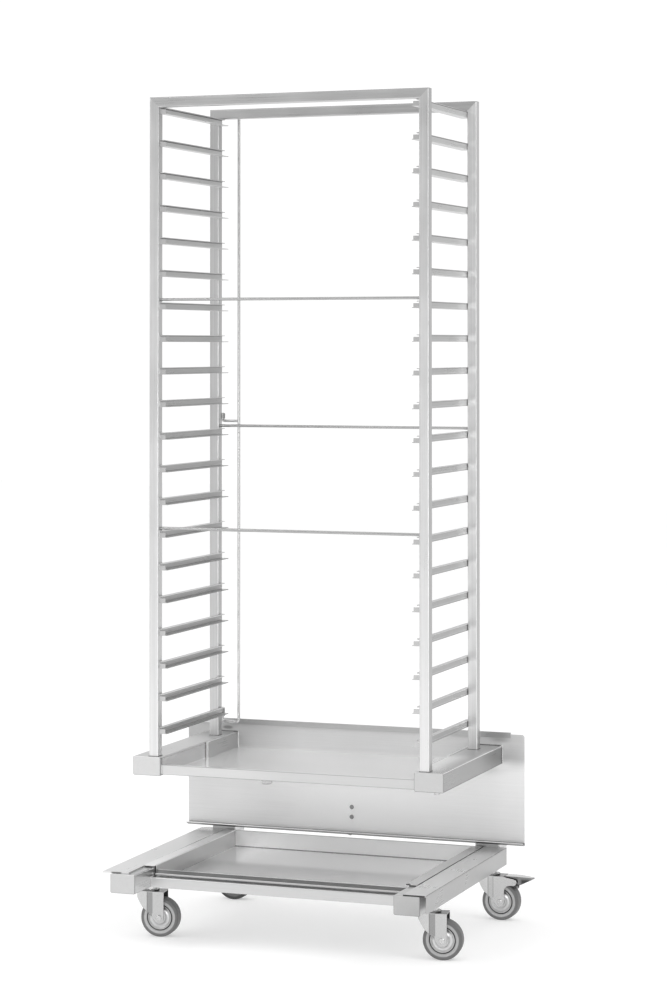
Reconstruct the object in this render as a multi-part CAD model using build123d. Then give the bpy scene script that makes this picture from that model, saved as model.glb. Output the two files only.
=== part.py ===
from build123d import *
import math
import os

os.makedirs("parts", exist_ok=True)

# ---------------------------------------------------------------- dimensions
# Millimetres. X to the right, Y to the back, Z up, floor at Z = 0.
# The layout is drawn from the front face of the rack's front posts (Y = 0)
# and the middle of the rack (X = 0); ORIGIN moves it to the middle of the
# footprint at the end.
ORIGIN_X = 7.5
ORIGIN_Y = 149.0

PITCH = 64.8            # rail to rail
LEVELS = 20
RACK_W = 586.0          # over the posts
RACK_D = 326.0          # over the posts
TUBE = 20.0             # square rack tube
TUBE_T = 1.5
RACK_TOP = 1666.0
RAIL_TOP = RACK_TOP - TUBE      # top of the uppermost rail
XI = RACK_W / 2 - TUBE          # inner post face
XO = RACK_W / 2                 # outer post face

RAIL_H = 14.0
RAIL_FOOT = 16.0        # lower flange, carries the container rim
RAIL_CAP = 8.0          # upper flange, stops the container tipping
RAIL_T = 1.5
RAIL_Y0, RAIL_Y1 = 5.0, 322.0

FLOOR_XI, FLOOR_XO = 265.0, 324.0     # rack floor tubes
FLOOR_Z0, FLOOR_Z1 = 319.5, 356.5
FLOOR_Y0, FLOOR_Y1 = -6.0, 379.0

PANEL_X = 371.0
PANEL_Y = 377.0         # front face
PANEL_T = 2.0
PANEL_Z0, PANEL_Z1 = 156.0, 380.2

BASE_XI, BASE_XO = 265.0, 317.0       # base tubes
BASE_Z0, BASE_Z1 = 109.0, 146.0
BASE_Y0, BASE_Y1 = -126.0, 428.0
CAP_T = 2.0

PAN_X = 261.5           # inside face of the pan's side walls
PAN_Y0, PAN_Y1 = -30.0, 371.5
PAN_Z0 = 116.0          # pan floor
PAN_RIM_Z = BASE_Z1 + 4.0
PAN_RIM_X = 284.0
PAN_LIP_Z = 140.8       # top of the pan's front wall

HINGE_X, HINGE_Y = -274.0, 331.0      # locking bar hinge line
BAR_ARM = 37.0
ROD_R = 3.0

KING_X = 294.5          # caster kingpins
KING_YF, KING_YR = 12.0, 398.0
TRAIL = 22.0
WHEEL_R = 38.5
WHEEL_W = 26.0
AXLE_R = 4.0
FORK_TOP = 90.1
PEDAL_X, PEDAL_Z = 52.7, 80.7         # brake pedal pin, from the kingpin
FRONT_SWIVEL = 8.0      # the front casters stand turned by this much
FIT = 0.06              # radial running clearance of pins

parts = {}


# ------------------------------------------------------------------- helpers
def box(x0, x1, y0, y1, z0, z1):
    x0, x1 = min(x0, x1), max(x0, x1)
    return Pos((x0 + x1) / 2, (y0 + y1) / 2, (z0 + z1) / 2) * Box(x1 - x0, y1 - y0, z1 - z0)


def cyl_z(x, y, r, z0, z1):
    return Pos(x, y, (z0 + z1) / 2) * Cylinder(r, z1 - z0)


def cyl_y(x, z, r, y0, y1):
    return Pos(x, (y0 + y1) / 2, z) * Rot(90, 0, 0) * Cylinder(r, y1 - y0)


def cyl_x(y, z, r, x0, x1):
    return Pos((x0 + x1) / 2, y, z) * Rot(0, 90, 0) * Cylinder(r, x1 - x0)


def prism_xz(pts, y0, y1):
    # closed polygon of (x, z) points, pulled from y0 to y1
    pl = Plane(origin=(0, y0, 0), x_dir=(1, 0, 0), z_dir=(0, -1, 0))
    face = pl * make_face(Polyline(*pts, close=True))
    return extrude(face, amount=y1 - y0, dir=(0, 1, 0))


def prism_yz(pts, x0, x1):
    # closed polygon of (y, z) points, pulled from x0 to x1
    pl = Plane(origin=(x0, 0, 0), x_dir=(0, 1, 0), z_dir=(1, 0, 0))
    face = pl * make_face(Polyline(*pts, close=True))
    return extrude(face, amount=x1 - x0, dir=(1, 0, 0))


def prism_xy(pts, z0, z1):
    face = Pos(0, 0, z0) * make_face(Polyline(*pts, close=True))
    return extrude(face, amount=z1 - z0, dir=(0, 0, 1))


def profile(w, h, t, r):
    # rectangular tube section, outer corner radius r
    return RectangleRounded(w, h, r) - RectangleRounded(w - 2 * t, h - 2 * t, max(r - t, 0.4))


def tube_z(x0, x1, y0, y1, z0, z1, t, r):
    s = Pos((x0 + x1) / 2, (y0 + y1) / 2, z0) * profile(abs(x1 - x0), y1 - y0, t, r)
    return extrude(s, amount=z1 - z0, dir=(0, 0, 1))


def tube_y(x0, x1, z0, z1, y0, y1, t, r):
    pl = Plane(origin=((x0 + x1) / 2, y0, (z0 + z1) / 2), x_dir=(1, 0, 0), z_dir=(0, -1, 0))
    return extrude(pl * profile(abs(x1 - x0), z1 - z0, t, r), amount=y1 - y0, dir=(0, 1, 0))


def tube_x(y0, y1, z0, z1, x0, x1, t, r):
    pl = Plane(origin=(x0, (y0 + y1) / 2, (z0 + z1) / 2), x_dir=(0, 1, 0), z_dir=(1, 0, 0))
    return extrude(pl * profile(y1 - y0, z1 - z0, t, r), amount=x1 - x0, dir=(1, 0, 0))


def block_y(x0, x1, z0, z1, y0, y1, r):
    pl = Plane(origin=((x0 + x1) / 2, y0, (z0 + z1) / 2), x_dir=(1, 0, 0), z_dir=(0, -1, 0))
    return extrude(pl * RectangleRounded(abs(x1 - x0), z1 - z0, r), amount=y1 - y0, dir=(0, 1, 0))


def end_cap_y(x0, x1, z0, z1, y0, y1, r, front=True):
    # welded tube cap with its outer edge broken
    cap = block_y(x0, x1, z0, z1, y0, y1, r)
    f = cap.faces().sort_by(Axis.Y)[0 if front else -1]
    return chamfer(f.edges(), 0.7)


def mirror_x(shape):
    return mirror(shape, about=Plane.YZ)


def group(items):
    return Compound(children=list(items))


# ------------------------------------------------------------- rack uprights
# Each end of the rack is an inverted U of square tube with mitred top corners.
def corner_cut(side, keep_post, y0, y1):
    # wedge beyond the mitre plane of the top corner on that side
    a = XO + 5
    if keep_post:
        pts = [(side * (XO + 0.0), RACK_TOP), (side * (XI - 10), RACK_TOP - TUBE - 10),
               (side * (XI - 10), RACK_TOP + 10), (side * XO, RACK_TOP + 10)]
    else:
        pts = [(side * XO, RACK_TOP), (side * (XI - 10), RACK_TOP - TUBE - 10),
               (side * a, RACK_TOP - TUBE - 10), (side * a, RACK_TOP)]
    return prism_xz(pts, y0 - 1, y1 + 1)


def post(side, y0):
    p = tube_z(side * XI, side * XO, y0, y0 + TUBE, FLOOR_Z1, RACK_TOP, TUBE_T, 2.0)
    return p - corner_cut(side, True, y0, y0 + TUBE)


def top_bar(y0):
    b = tube_x(y0, y0 + TUBE, RACK_TOP - TUBE, RACK_TOP, -XO, XO, TUBE_T, 2.0)
    return b - corner_cut(-1, False, y0, y0 + TUBE) - corner_cut(1, False, y0, y0 + TUBE)


YR = RACK_D - TUBE
parts["front_left_post"] = post(-1, 0)
parts["front_right_post"] = post(1, 0)
parts["rear_left_post"] = post(-1, YR)
parts["rear_right_post"] = post(1, YR)
parts["front_top_bar"] = top_bar(0)
parts["rear_top_bar"] = top_bar(YR)


# --------------------------------------------------------------------- rails
def rail(side, zt):
    x = lambda d: side * (XI - d)
    zb = zt - RAIL_H
    pts = [(x(1.2), zt), (x(RAIL_CAP), zt), (x(RAIL_CAP), zt - RAIL_T), (x(RAIL_T), zt - RAIL_T),
           (x(RAIL_T), zb + RAIL_T), (x(RAIL_FOOT), zb + RAIL_T), (x(RAIL_FOOT), zb),
           (x(1.2), zb), (x(0.35), zb + 0.35), (x(0), zb + 1.2), (x(0), zt - 1.2), (x(0.35), zt - 0.35)]
    r = prism_xz(pts, RAIL_Y0, RAIL_Y1)
    # upturned stop at the front and a clipped corner on the upper flange
    r += box(x(RAIL_T), x(13.0), RAIL_Y0, RAIL_Y0 + RAIL_T, zb + RAIL_T, zt - 4.5)
    r -= prism_xy([(x(3.0), RAIL_Y0 - 1), (x(RAIL_CAP + 1), RAIL_Y0 - 1), (x(RAIL_CAP + 1), RAIL_Y0 + 6)],
                  zt - RAIL_T - 0.1, zt + 1)
    return r


rail_tops = [RAIL_TOP - PITCH * i for i in range(LEVELS)]
parts["left_rails"] = group([rail(-1, z) for z in rail_tops])
parts["right_rails"] = group([rail(1, z) for z in rail_tops])

# --------------------------------------------------------------- brace rods
ROD_Z = (1262.9, 1003.7, 808.3)
parts["front_brace_rods"] = group([cyl_x(10, ROD_Z[0], ROD_R, -XI, XI), cyl_x(10, ROD_Z[2], ROD_R, -XI, XI)])
parts["rear_brace_rod"] = cyl_x(316, ROD_Z[1], ROD_R, -XI, XI)

# -------------------------------------------------------------- locking bar
ARM_Z = (383.0, 1013.2, 1662.0)
BX = HINGE_X + BAR_ARM


def wire(points, radii, r):
    path = FilletPolyline(*points, radius=radii)
    start = path @ 0
    tangent = path % 0
    return sweep(Plane(origin=start, z_dir=tangent) * Circle(r), path=path)


bar = wire([(HINGE_X, HINGE_Y, 411.5), (HINGE_X, HINGE_Y, ARM_Z[0]), (BX, HINGE_Y, ARM_Z[0]),
            (BX, HINGE_Y, ARM_Z[2]), (HINGE_X, HINGE_Y, ARM_Z[2]), (HINGE_X, HINGE_Y, 1646.5)],
           [6.0, 8.0, 8.0, 4.2], ROD_R)
bar += wire([(BX, HINGE_Y, ARM_Z[1]), (HINGE_X, HINGE_Y, ARM_Z[1]), (HINGE_X, HINGE_Y, 1030.2)],
            [4.2], ROD_R)
parts["locking_bar"] = bar

sleeves = []
for z0, z1 in ((394.7, 410.7), (1017.7, 1029.2), (1647.0, 1657.4)):
    s = cyl_z(HINGE_X, HINGE_Y, 5.3, z0, z1) - cyl_z(HINGE_X, HINGE_Y, ROD_R + FIT, z0 - 1, z1 + 1)
    s -= box(HINGE_X - 8, HINGE_X + 8, RACK_D - 5, RACK_D, z0 - 1, z1 + 1)
    sleeves.append(s)
parts["hinge_sleeves"] = group(sleeves)

# ---------------------------------------------------------- rack floor frame
floor_l = tube_y(-FLOOR_XO, -FLOOR_XI, FLOOR_Z0, FLOOR_Z1, FLOOR_Y0, FLOOR_Y1, 2.0, 2.5)
parts["left_floor_tube"] = floor_l
parts["right_floor_tube"] = mirror_x(floor_l)
fcap = end_cap_y(-FLOOR_XO, -FLOOR_XI, FLOOR_Z0, FLOOR_Z1, FLOOR_Y0 - CAP_T, FLOOR_Y0, 2.5)
parts["floor_tube_caps"] = group([fcap, mirror_x(fcap)])

# Drip tray between the floor tubes, with a spout below its front.
TRAY_Z = 323.8
TRAY_LIP = 341.5         # top of the tray's front lip
TRAY_T = 1.5
TRAY_Y0 = -3.0
SPOUT_X, SPOUT_Y = -47.0, 15.0
SPOUT_R = 11.0
tray = box(-FLOOR_XI, FLOOR_XI, TRAY_Y0, PANEL_Y, TRAY_Z - TRAY_T, TRAY_Z)
tray += box(-FLOOR_XI, FLOOR_XI, TRAY_Y0, TRAY_Y0 + TRAY_T, TRAY_Z, TRAY_LIP)
tray += box(-FLOOR_XI + TRAY_T, FLOOR_XI - TRAY_T, TRAY_Y0 + TRAY_T, 4.0, TRAY_LIP - TRAY_T, TRAY_LIP)
for s in (-1, 1):
    tray += box(s * FLOOR_XI, s * (FLOOR_XI - TRAY_T), TRAY_Y0 + TRAY_T, PANEL_Y, TRAY_Z, FLOOR_Z1 - 2.5)
tray -= cyl_z(SPOUT_X, SPOUT_Y, SPOUT_R - 1.8, TRAY_Z - 5, TRAY_Z + 5)
parts["upper_drip_tray"] = tray
spout = cyl_z(SPOUT_X, SPOUT_Y, SPOUT_R, TRAY_Z - 11.0, TRAY_Z - TRAY_T)
spout = chamfer(spout.faces().sort_by(Axis.Z)[0].edges(), 2.2, 3.2)
parts["tray_drain_spout"] = spout - cyl_z(SPOUT_X, SPOUT_Y, SPOUT_R - 1.8, TRAY_Z - 18.0, TRAY_Z + 1)
# short locating stud welded under the right floor tube
parts["locating_stud"] = chamfer(cyl_z(308.0, 2.0, 6.0, FLOOR_Z0 - 4.2, FLOOR_Z0).faces().sort_by(Axis.Z)[0].edges(), 0.8)
splate = box(-FLOOR_XI + TRAY_T, -FLOOR_XI + TRAY_T + 6.0, 217.0, PANEL_Y, TRAY_Z, FLOOR_Z1 - 1.0)
parts["tray_side_plates"] = group([splate, mirror_x(splate)])

# -------------------------------------------------------------- apron panel
PB = PANEL_Z0 - 0.4      # underside of the folded lip
pts = [(PANEL_Y + PANEL_T, PANEL_Z1), (PANEL_Y + PANEL_T, PB + 3.0), (PANEL_Y + 1.4, PB + 1.2), (PANEL_Y + 0.2, PB + 0.3),
       (PANEL_Y - 1.6, PB), (PANEL_Y - 3.2, PB + 0.3), (362.2, PB + 5.7), (363.0, PB + 7.5),
       (PANEL_Y - 2.4, PB + 2.3), (PANEL_Y - 1.2, PB + 2.1), (PANEL_Y - 0.3, PB + 2.6), (PANEL_Y, PB + 3.6),
       (PANEL_Y, PANEL_Z1)]
panel = prism_yz(pts, -PANEL_X, PANEL_X)
panel = fillet(panel.edges().filter_by(Axis.Y).group_by(Axis.Z)[-1], 6.0)
for s in (-1, 1):
    panel -= block_y(s * FLOOR_XI, s * FLOOR_XO, FLOOR_Z0, FLOOR_Z1, PANEL_Y - 3, PANEL_Y + 5, 2.5)
SCREW_X = -2.0
SCREW_Z = (212.7, 192.3)
for z in SCREW_Z:
    panel -= cyl_y(SCREW_X, z, 2.5, PANEL_Y - 3, PANEL_Y + 5)
# small round-headed bolt through the folded lip, below the two screws
LIP_C = (367.2, PB + 4.4)
LIP_N = (0.0, -0.422, -0.906)


def lip_bolt(r, a0, a1):
    pl = Plane(origin=(SCREW_X, LIP_C[0] + LIP_N[1] * a0, LIP_C[1] + LIP_N[2] * a0), x_dir=(1, 0, 0), z_dir=LIP_N)
    return pl * extrude(Circle(r), amount=a1 - a0)


panel -= lip_bolt(1.8, -6.0, 6.0)
parts["apron_panel"] = panel
head = lip_bolt(3.7, 1.15, 3.9)
head = fillet(head.faces().sort_by(lambda f: f.center().Z)[0].edges(), 1.3)
parts["apron_lip_bolt"] = head + lip_bolt(1.8, -2.6, 1.3)
parts["panel_top_bar"] = prism_yz([(PANEL_Y, PANEL_Z1 - 7.2), (373.0, PANEL_Z1 - 7.2), (371.6, PANEL_Z1 + 4.0),
                                    (PANEL_Y, PANEL_Z1 + 4.0)], -343.0, 343.0)

screws = []
for z in SCREW_Z:
    s = cyl_y(SCREW_X, z, 4.6, PANEL_Y - 2.2, PANEL_Y)
    s = fillet(s.faces().sort_by(Axis.Y)[0].edges(), 1.4)
    s += cyl_y(SCREW_X, z, 2.5, PANEL_Y - 0.5, PANEL_Y + 9)
    s += cyl_y(SCREW_X, z, 4.5, PANEL_Y + PANEL_T, PANEL_Y + 6)
    screws.append(s)
parts["panel_screws"] = group(screws)

# ---------------------------------------------------------------- uprights
UP_Y0, UP_Y1 = PANEL_Y + PANEL_T, 419.0
up = tube_z(-BASE_XO, -BASE_XI, UP_Y0, UP_Y1, BASE_Z1, FLOOR_Z1 - CAP_T, 2.0, 2.5)
parts["left_upright"] = up
parts["right_upright"] = mirror_x(up)
ucap = Pos(-(BASE_XI + BASE_XO) / 2, (UP_Y0 + UP_Y1) / 2, FLOOR_Z1 - CAP_T) * extrude(
    RectangleRounded(BASE_XO - BASE_XI, UP_Y1 - UP_Y0, 2.5), amount=CAP_T)
parts["upright_caps"] = group([ucap, mirror_x(ucap)])


# --------------------------------------------------------------------- base
def base_tube(side):
    b = tube_y(side * BASE_XI, side * BASE_XO, BASE_Z0, BASE_Z1, BASE_Y0, BASE_Y1, 2.0, 2.5)
    for y in (KING_YF, KING_YR):
        b -= cyl_z(side * KING_X, y, 6.0, BASE_Z0 - 2, BASE_Z0 + 5)
    return b


parts["left_base_tube"] = base_tube(-1)
parts["right_base_tube"] = base_tube(1)
bc = end_cap_y(-BASE_XO, -BASE_XI, BASE_Z0, BASE_Z1, BASE_Y0 - CAP_T, BASE_Y0, 2.5)
br = end_cap_y(-BASE_XO, -BASE_XI, BASE_Z0, BASE_Z1, BASE_Y1, BASE_Y1 + CAP_T, 2.5, False)
parts["base_tube_caps"] = group([bc, mirror_x(bc), br, mirror_x(br)])
parts["front_crossbar"] = tube_x(-53.2, -33.2, BASE_Z0, BASE_Z0 + TUBE, -BASE_XI, BASE_XI, TUBE_T, 2.0)
parts["rear_crossbar"] = tube_x(386.0, 406.0, BASE_Z0, BASE_Z0 + TUBE, -BASE_XI, BASE_XI, TUBE_T, 2.0)

# Docking guides on the base tubes.
gl = prism_xy([(-335.0, -125.0), (-281.5, -119.0), (-283.0, -49.0), (-285.0, -47.0), (-289.5, UP_Y0),
               (-BASE_XO - 0.5, UP_Y0), (-BASE_XO - 0.5, 392.0), (-330.0, 392.0), (-337.5, 388.5),
               (-342.5, 382.0), (-344.5, 374.0)], BASE_Z1, BASE_Z1 + 3.0)
parts["left_guide_plate"] = gl
gr = box(285.0, 331.0, -132.0, 385.0, BASE_Z1, BASE_Z1 + 3.0)
gr += box(328.0, 331.0, -126.0, 384.0, BASE_Z0 + 5.5, BASE_Z1 + 3.0)
gr -= box(280.0, BASE_XO + 0.5, UP_Y0, 390.0, BASE_Z1 - 1, BASE_Z1 + 5.0)
gr = fillet(gr.edges().filter_by(Axis.Y).group_by(Axis.X)[-1].sort_by(Axis.Z)[-1], 2.2)
parts["right_guide_angle"] = gr

# ----------------------------------------------------------------- drip pan
T = 1.5
pan = box(-PAN_X - T, PAN_X + T, PAN_Y0 - T, PAN_Y1 + T, PAN_Z0 - T, PAN_Z0)
for s in (-1, 1):
    pan += box(s * PAN_X, s * (PAN_X + T), PAN_Y0 - T, PAN_Y1 + T, PAN_Z0, PAN_RIM_Z)
    pan += box(s * PAN_X, s * PAN_RIM_X, -44.0, PAN_Y1 + 2.5, PAN_RIM_Z - T, PAN_RIM_Z)
    pan += box(s * (PAN_RIM_X - T), s * PAN_RIM_X, -44.0, PAN_Y1 + 2.5, BASE_Z1, PAN_RIM_Z)
pan += box(-PAN_X - T, PAN_X + T, PAN_Y1, PAN_Y1 + T, PAN_Z0, PAN_RIM_Z)
pan += box(-PAN_X - T, PAN_X + T, PAN_Y1, PAN_Y1 + 2.5, PAN_RIM_Z - T, PAN_RIM_Z)
pan += box(-PAN_X - T, PAN_X + T, PAN_Y0 - T, PAN_Y0, PAN_Z0, PAN_LIP_Z - 2.0)
# the front wall's top folds forward and down, then hangs as a short hem
pan += prism_yz([(PAN_Y0, PAN_LIP_Z - 3.0), (PAN_Y0, PAN_LIP_Z - 0.5), (PAN_Y0 - 0.5, PAN_LIP_Z), (PAN_Y0 - 1.2, PAN_LIP_Z),
                 (PAN_Y0 - 12.2, PAN_LIP_Z - 5.5), (PAN_Y0 - 12.5, PAN_LIP_Z - 6.1), (PAN_Y0 - 12.5, PAN_LIP_Z - 8.7),
                 (PAN_Y0 - 11.0, PAN_LIP_Z - 8.7), (PAN_Y0 - 11.0, PAN_LIP_Z - 6.6), (PAN_Y0 - T, PAN_LIP_Z - 1.9),
                 (PAN_Y0 - T, PAN_LIP_Z - 3.0)], -PAN_X + 1.5, PAN_X - 1.5)
parts["drip_pan"] = pan


# ------------------------------------------------------------------ casters
# Drawn with the kingpin at (0, 0) and the wheel trailing towards +X.
def fork_side(brake):
    a = [(-27.0, 92.0), (-27.0, 79.0), (-13.0, 58.5), (1.0, 47.0), (12.5, 34.5)]
    n = 14
    for k in range(1, n):
        t = math.radians(205 + (360 - 205) * k / n)
        a.append((TRAIL + 9.5 * math.cos(t), WHEEL_R + 9.5 * math.sin(t)))
    a.append((TRAIL + 9.5, WHEEL_R))
    if brake:
        a += [(31.5, 61.0), (33.0, 66.5), (37.5, 71.0), (44.0, 72.6), (52.0, 72.4), (56.0, 74.6), (58.5, 79.5),
              (57.0, 84.0), (53.0, 85.6), (31.5, 89.0), (31.5, 92.0)]
    else:
        a += [(31.5, 92.0)]
    return a


def fork(brake):
    top = FORK_TOP
    w = 17.5
    t = 2.0
    lx = 60.0 if brake else 31.5

    def outline(off):
        # straight legs, a pressed step, then a nose that draws in and closes
        half = [(lx + 5, w), (9.0, w), (6.6, w - 1.35), (-1.6, w - 1.5), (-3.4, w - 2.2), (-12.0, w - 2.9),
                (-18.0, w - 4.2), (-22.6, w - 6.8), (-25.6, w - 10.0), (-27.0, w - 14.0)]
        half = [(x + (off if x < -24 else 0.6 * off if x < -16 else 0.2 * off if x < 8 else 0.0), y - off * (0.45 if x < -24 else 0.9 if x < -16 else 1.0))
                for x, y in half]
        return half + [(x, -y) for x, y in reversed(half)]

    body = prism_xy(outline(0), 20, top) - prism_xy(outline(t), 18, top - 3.0)
    body &= prism_xz(fork_side(brake), -30, 30)
    # the top plate ends where the legs do
    body -= box(31.5, 70, -(w - t), w - t, 60, 98)
    # small pressed dimple in each leg
    for s in (-1, 1):
        body -= cyl_y(20.0, 83.5, 1.6, s * w - 0.5, s * w + 0.5)
    body -= cyl_z(0, 0, 6.0 + FIT, 70, 98)
    body -= cyl_y(TRAIL, WHEEL_R, AXLE_R, -25, 25)
    if brake:
        body -= cyl_y(PEDAL_X, PEDAL_Z, 3.0, -25, 25)
    return body


def hexagon(af):
    return RegularPolygon(af / 2, 6, major_radius=False)


def kingpin():
    p = cyl_z(0, 0, 9.5, FORK_TOP - 8.4, FORK_TOP - 3.4)
    p += cyl_z(0, 0, 6.0, FORK_TOP - 3.4, BASE_Z0 + 15)
    nut = Pos(0, 0, BASE_Z0 + 2.0) * extrude(hexagon(19), amount=10) - cyl_z(0, 0, 6.0, BASE_Z0 - 1, BASE_Z0 + 14)
    return group([p, nut])


def boss():
    b = cyl_z(0, 0, 12.5, FORK_TOP + 3.0, BASE_Z0) + cyl_z(0, 0, 18.0, FORK_TOP + 0.3, FORK_TOP + 3.0)
    return b - cyl_z(0, 0, 6.0, FORK_TOP - 3, BASE_Z0 + 4)


def axle():
    a = cyl_y(TRAIL, WHEEL_R, AXLE_R, -19.5, 22.0)
    head = Plane(origin=(TRAIL, -17.5, WHEEL_R), x_dir=(1, 0, 0), z_dir=(0, -1, 0)) * extrude(Circle(5.4), amount=2.6)
    head = chamfer(head.faces().sort_by(Axis.Y)[0].edges(), 0.9)
    nut = Plane(origin=(TRAIL, 17.5, WHEEL_R), x_dir=(1, 0, 0), z_dir=(0, 1, 0)) * extrude(hexagon(13), amount=5.5)
    socket = Plane(origin=(TRAIL, -18.6, WHEEL_R), x_dir=(1, 0, 0), z_dir=(0, -1, 0)) * extrude(hexagon(3.0), amount=3)
    return a + head + nut - socket


def turn(pts, x=TRAIL, z=WHEEL_R):
    # closed (radius, y) outline turned about the axle
    pl = Plane(origin=(x, 0, z), x_dir=(1, 0, 0), z_dir=(0, 0, 1))
    face = pl * make_face(Polyline(*pts, close=True))
    return revolve(face, axis=Axis((x, 0, z), (0, 1, 0)))


def hub():
    r0 = AXLE_R + FIT
    half = [(r0, 14.9), (11.0, 14.9), (12.2, 14.3), (12.8, 12.6), (13.6, 10.6), (15.2, 9.1), (17.2, 8.4), (19.2, 8.6),
            (20.8, 9.5), (22.0, 10.8), (22.8, 11.6), (24.0, 11.6), (24.5, 10.2), (25.4, 9.6)]
    pts = half + [(r, -y) for r, y in reversed(half)]
    return turn(pts)


def tyre():
    w = WHEEL_W / 2
    half = [(25.4, 9.9), (25.8, 11.2), (26.6, w - 0.9), (31.4, w - 0.5), (32.0, w - 0.9), (32.6, w - 0.3),
            (34.8, w - 0.4), (36.8, w - 0.6), (37.9, w - 1.6), (38.4, w - 3.2), (WHEEL_R, w - 5.0)]
    pts = half + [(r, -y) for r, y in reversed(half)]
    return turn(pts)


def pedal():
    z = PEDAL_Z
    # top plate, bent down a little towards its rounded tip
    p = prism_xz([(33.0, z + 7.6), (60.0, z + 7.6), (91.5, z + 5.6), (91.5, z + 7.9), (60.0, z + 9.9),
                  (33.0, z + 9.9)], -12, 12)
    p &= prism_xy([(33.0, -12.0), (60.0, -12.0), (87.5, -6.5), (90.5, -4.0), (91.5, 0.0), (90.5, 4.0),
                   (87.5, 6.5), (60.0, 12.0), (33.0, 12.0)], 60, 100)
    cheek = [(46.0, z + 7.6), (46.5, z - 2.7), (50.0, z - 6.7), (57.0, z - 9.1), (62.0, z - 7.7), (87.0, z + 4.0),
             (87.0, z + 5.9), (60.0, z + 7.6)]
    taper = prism_xy([(40.0, -12.0), (60.0, -12.0), (87.5, -6.5), (89.0, -6.0), (89.0, 6.0), (87.5, 6.5),
                      (60.0, 12.0), (40.0, 12.0)], 60, 95)
    inner = prism_xy([(30.0, -9.6), (59.6, -9.6), (84.5, -4.6), (84.5, 4.6), (59.6, 9.6), (30.0, 9.6)], 60, z + 7.6)
    p += (prism_xz(cheek, -12, 12) & taper) - inner
    # brake shoe between the cheeks, just off the tread
    p += prism_xz([(50.0, z - 6.2), (52.0, z - 14.6), (55.5, z - 14.6), (57.2, z - 8.9), (57.0, z - 6.2)], -9.6, 9.6)
    p -= cyl_y(PEDAL_X, z, 3.0 + FIT, -25, 25)
    return p


def pedal_pin():
    p = cyl_y(PEDAL_X, PEDAL_Z, 3.0, -18.5, 18.5)
    for s in (-1, 1):
        p += cyl_y(PEDAL_X, PEDAL_Z, 4.5, s * 17.5 - (1.5 if s < 0 else 0), s * 17.5 + (1.5 if s > 0 else 0))
    return p


spots = {"front_left": (-KING_X, KING_YF, FRONT_SWIVEL, False),
         "front_right": (KING_X, KING_YF, FRONT_SWIVEL, False),
         "rear_left": (-KING_X, KING_YR, 0.0, True),
         "rear_right": (KING_X, KING_YR, 0.0, True)}
bosses = []
for name, (kx, ky, turned, brake) in spots.items():
    place = Pos(kx, ky, 0)
    at = Pos(kx, ky, 0) * Rot(0, 0, turned)
    bosses.append(place * boss())
    parts[name + "_kingpin"] = place * kingpin()
    parts[name + "_fork"] = at * fork(brake)
    parts[name + "_axle"] = at * axle()
    parts[name + "_hub"] = at * hub()
    parts[name + "_tyre"] = at * tyre()
    if brake:
        parts[name + "_brake_pedal"] = at * pedal()
        parts[name + "_pedal_pin"] = at * pedal_pin()
parts["caster_bosses"] = group(bosses)

# ------------------------------------------------------------------- output
low = [1e9] * 3
high = [-1e9] * 3
for name, shape in parts.items():
    moved = Pos(-ORIGIN_X, -ORIGIN_Y, 0) * shape
    bb = moved.bounding_box()
    for i, (a, b) in enumerate(zip(tuple(bb.min), tuple(bb.max))):
        low[i] = min(low[i], a)
        high[i] = max(high[i], b)
    export_step(moved, "parts/" + name + ".step")
print("nodes", len(parts))
print("box", [round(v, 2) for v in low], [round(v, 2) for v in high])
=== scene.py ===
import bpy
import bmesh
import math
import random
from mathutils import Matrix, Vector


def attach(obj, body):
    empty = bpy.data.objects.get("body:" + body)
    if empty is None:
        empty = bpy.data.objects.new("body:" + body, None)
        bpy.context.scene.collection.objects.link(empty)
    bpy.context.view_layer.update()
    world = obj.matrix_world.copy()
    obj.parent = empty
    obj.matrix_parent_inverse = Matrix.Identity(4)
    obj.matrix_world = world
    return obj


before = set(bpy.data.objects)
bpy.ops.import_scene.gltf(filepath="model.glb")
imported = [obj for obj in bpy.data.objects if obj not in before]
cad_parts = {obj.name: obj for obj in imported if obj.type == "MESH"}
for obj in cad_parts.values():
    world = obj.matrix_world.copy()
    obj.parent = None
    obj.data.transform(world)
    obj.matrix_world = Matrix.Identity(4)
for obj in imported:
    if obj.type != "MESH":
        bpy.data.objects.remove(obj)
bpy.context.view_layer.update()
random.seed(7)


def P(x, y, z):
    # rack millimetres (front face of the front posts, middle of the rack) to frame metres
    return Vector(((x - 7.5) / 1000.0, (y - 149.0) / 1000.0, z / 1000.0))


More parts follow.
